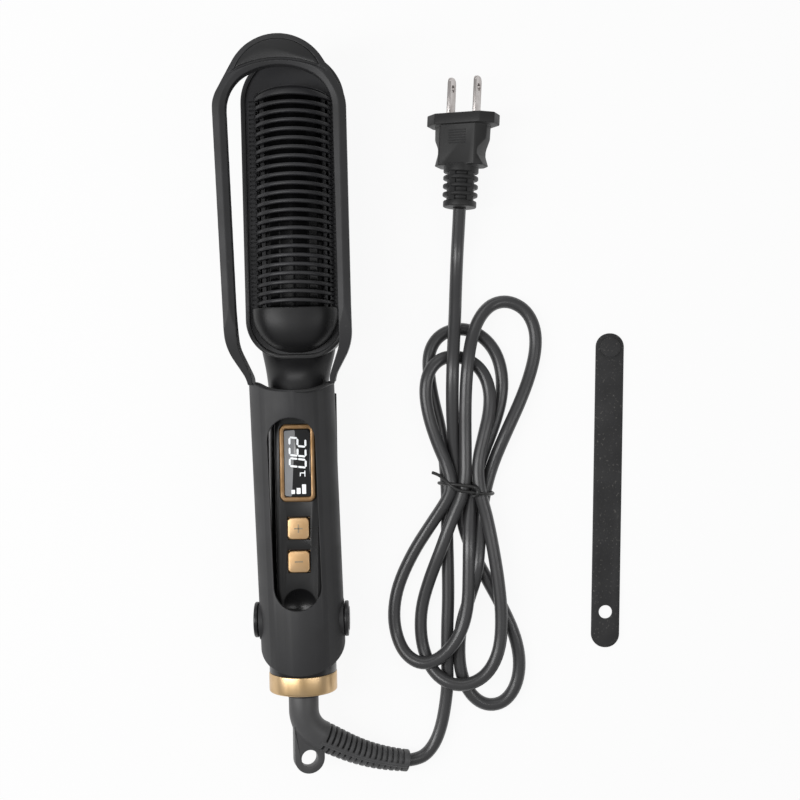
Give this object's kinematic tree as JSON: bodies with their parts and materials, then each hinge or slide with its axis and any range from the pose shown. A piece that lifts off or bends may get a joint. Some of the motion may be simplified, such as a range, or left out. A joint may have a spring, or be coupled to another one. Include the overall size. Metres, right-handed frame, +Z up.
{
  "type": "hair straightener brush",
  "caption": "Heated hair straightening comb on a tube handle, with a squeeze lever ending in a hoop, display, buttons, swivel mains cord, plug and loose strap.",
  "frame": {"origin": "middle of the flat back of the head, on the surface that the brush lies on", "axes": "+X right, +Y to the tip of the head along the handle's axis, +Z up out of the comb"},
  "size_m": [0.1824, 0.3279, 0.051],
  "materials": {
    "matte_black": "fine matte soft-touch moulding",
    "satin_black": "satin moulded plastic",
    "gloss_black": "polished moulded plastic",
    "coated_metal": "glossy black coating on the heater",
    "steel": "plain steel",
    "mica": "pressed mica sheet",
    "glass_bead": "glass bead",
    "gold": "brushed gold finish",
    "smoked_lens": "polished dark lens",
    "board_green": "solder mask on laminate",
    "brass": "plain brass",
    "rubber_black": "moulded rubber",
    "cord_pvc": "flexible PVC",
    "nickel": "nickel-plated brass",
    "strap_rubber": "dusty moulded rubber"
  },
  "bodies": {
    "root": {"head_rear_shell": "matte_black", "comb_insert": "satin_black", "heater_plate": "coated_metal", "heating_element": "steel", "mica_sheet": "mica", "heater_carrier": "satin_black", "thermistor": "glass_bead", "thermal_fuse": "steel", "neck": "gloss_black", "core_front": "gloss_black", "core_rear": "gloss_black", "screen_bezel": "gold", "screen_lens": "smoked_lens", "lcd_module": "smoked_lens", "tact_switches": "steel", "main_board": "board_green", "rear_cover": "matte_black", "pivot_pin_left": "satin_black", "pivot_pin_right": "satin_black", "power_switch": "satin_black", "gold_end_ring": "gold", "contact_holder": "satin_black", "brush_contacts": "brass", "cord_strap": "strap_rubber", "strap_stud": "strap_rubber"},
    "lever": {"lever_cover": "matte_black", "guard_hoop": "matte_black", "tip_inlay": "matte_black", "lever_spring": "steel"},
    "plus_button_body": {"plus_button": "gold"},
    "minus_button_body": {"minus_button": "gold"},
    "power_button_body": {"power_button": "satin_black"},
    "cord_swivel_body": {"swivel_barrel": "satin_black", "slip_rings": "brass", "strain_relief": "rubber_black", "cord_lead": "cord_pvc", "cord_hank": "cord_pvc", "cord_tail": "cord_pvc", "twist_tie": "cord_pvc", "plug_body": "cord_pvc", "plug_blades": "nickel"}
  },
  "joints": [
    {"name": "lever_squeeze", "type": "hinge", "parent": "root", "child": "lever", "pos_m": [0, -0.1852, 0.0189], "axis": [1, 0, 0], "range_deg": [-3, 0], "stiffness_Nm_per_rad": 1, "springref_deg": 20.05, "deforming": ["lever_spring"]},
    {"name": "plus_press", "type": "slide", "parent": "root", "child": "plus_button_body", "axis": [0, 0, -1], "range_m": [0, 0.0006], "stiffness_N_per_m": 800},
    {"name": "minus_press", "type": "slide", "parent": "root", "child": "minus_button_body", "axis": [0, 0, -1], "range_m": [0, 0.0006], "stiffness_N_per_m": 800},
    {"name": "power_press", "type": "slide", "parent": "root", "child": "power_button_body", "axis": [-1, 0, 0], "range_m": [0, 0.0006], "stiffness_N_per_m": 800},
    {"name": "cord_swivel", "type": "hinge", "parent": "root", "child": "cord_swivel_body", "pos_m": [0, -0.216, 0.0189], "axis": [0, 1, 0], "continuous": true}
  ]
}
